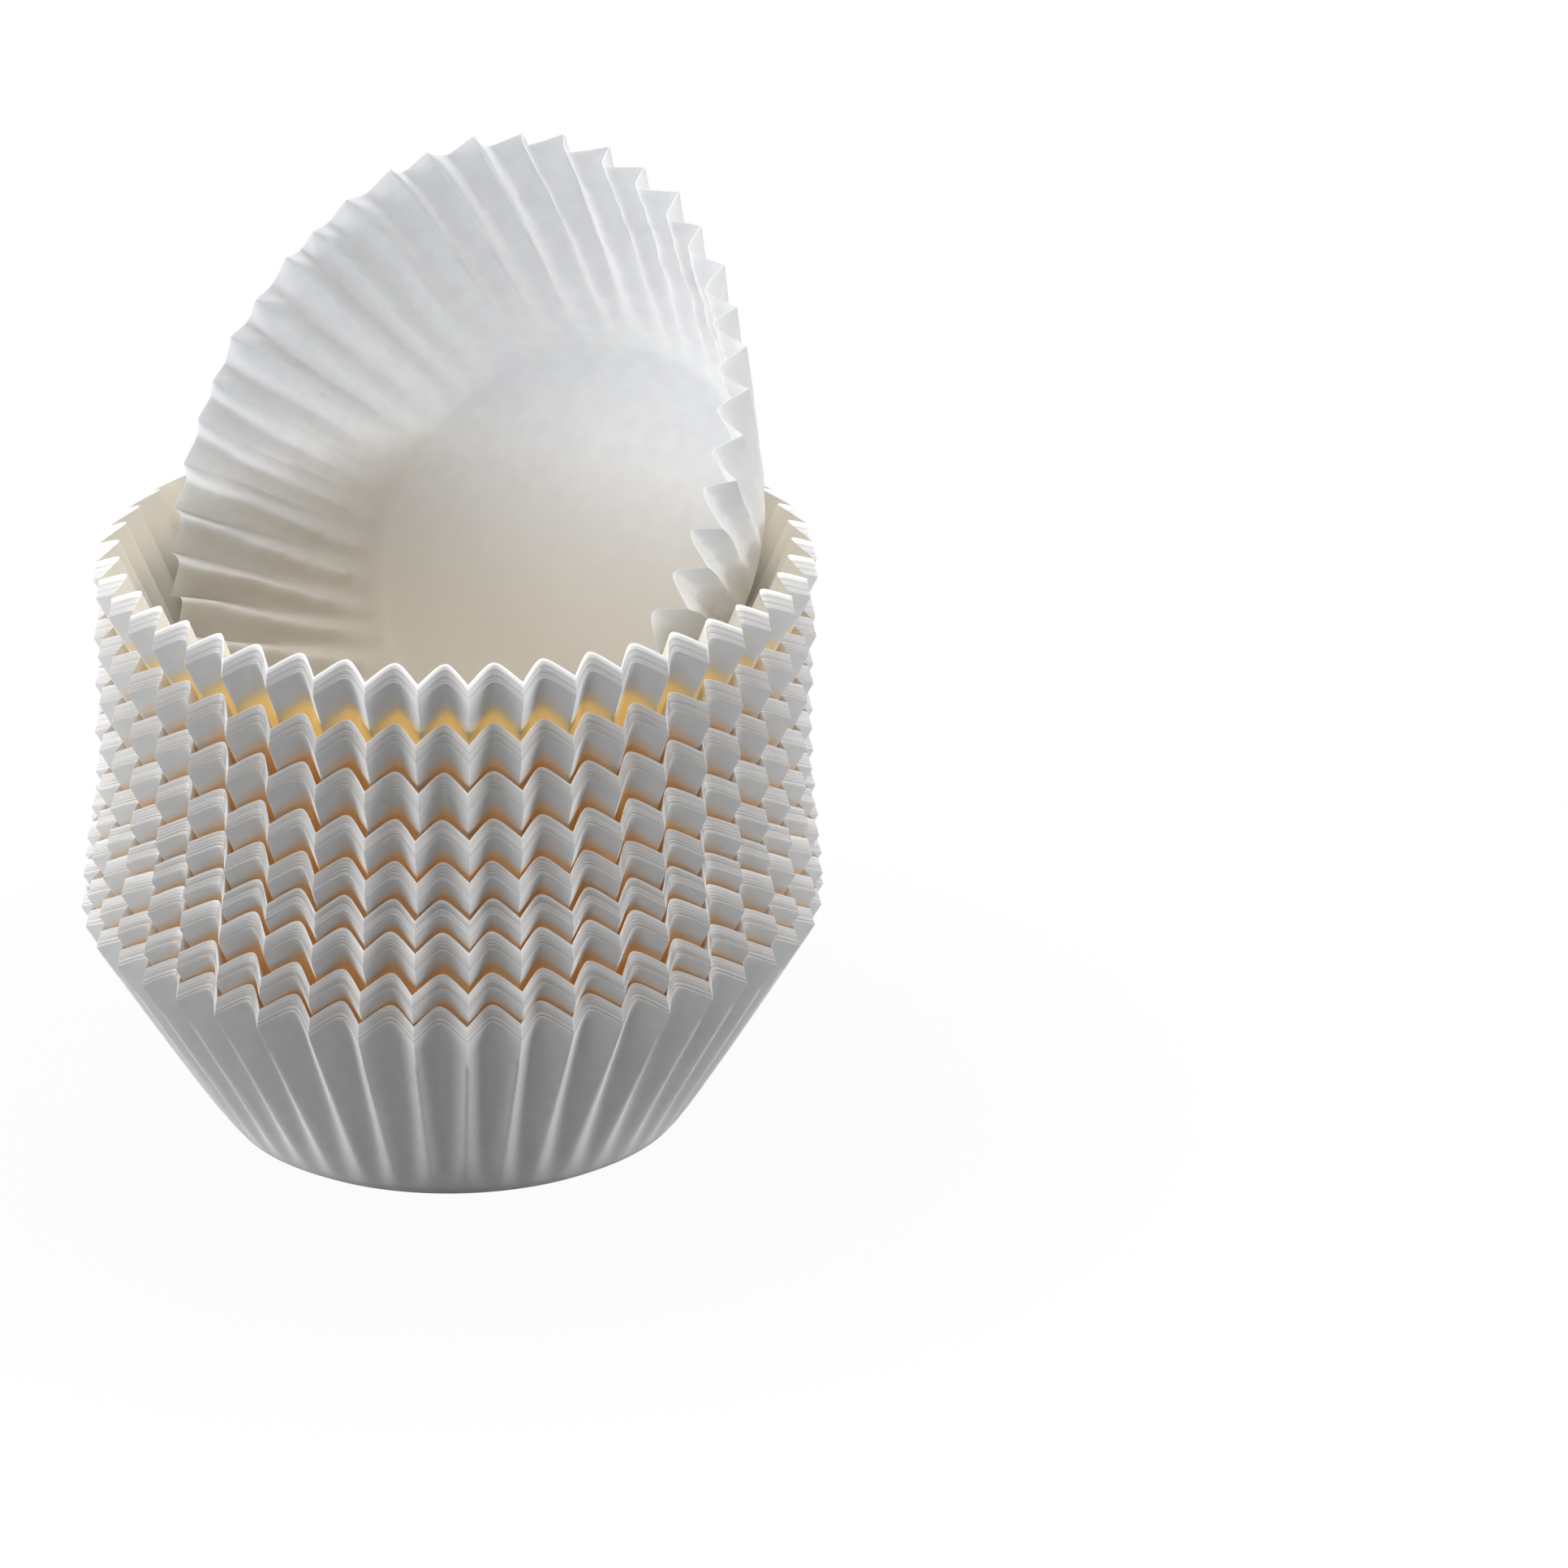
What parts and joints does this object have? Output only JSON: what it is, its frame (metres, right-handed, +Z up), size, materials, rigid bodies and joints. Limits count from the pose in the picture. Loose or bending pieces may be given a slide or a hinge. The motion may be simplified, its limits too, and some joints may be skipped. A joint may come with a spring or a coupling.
{
  "type": "stack of cupcake liners",
  "caption": "Stack of fluted white paper cupcake liners, nested in pressed bundles, with one loose liner leaning in the open top.",
  "frame": {"origin": "middle of the lowest bundle's flat underside", "axes": "+Z up the stack, -Y towards the side that the picture shows, +X to its right"},
  "size_m": [0.0784, 0.0784, 0.1036],
  "materials": {
    "bundled_paper": "matt greaseproof paper, pressed into pleats",
    "loose_paper": "matt greaseproof paper, one thin translucent sheet"
  },
  "bodies": {
    "root": {"liner_bundle_1": "bundled_paper", "liner_bundle_2": "bundled_paper", "liner_bundle_3": "bundled_paper", "liner_bundle_4": "bundled_paper", "liner_bundle_5": "bundled_paper", "liner_bundle_6": "bundled_paper", "liner_bundle_7": "bundled_paper", "liner_bundle_8": "bundled_paper", "liner_bundle_9": "bundled_paper", "leaning_liner": "loose_paper"}
  },
  "joints": []
}
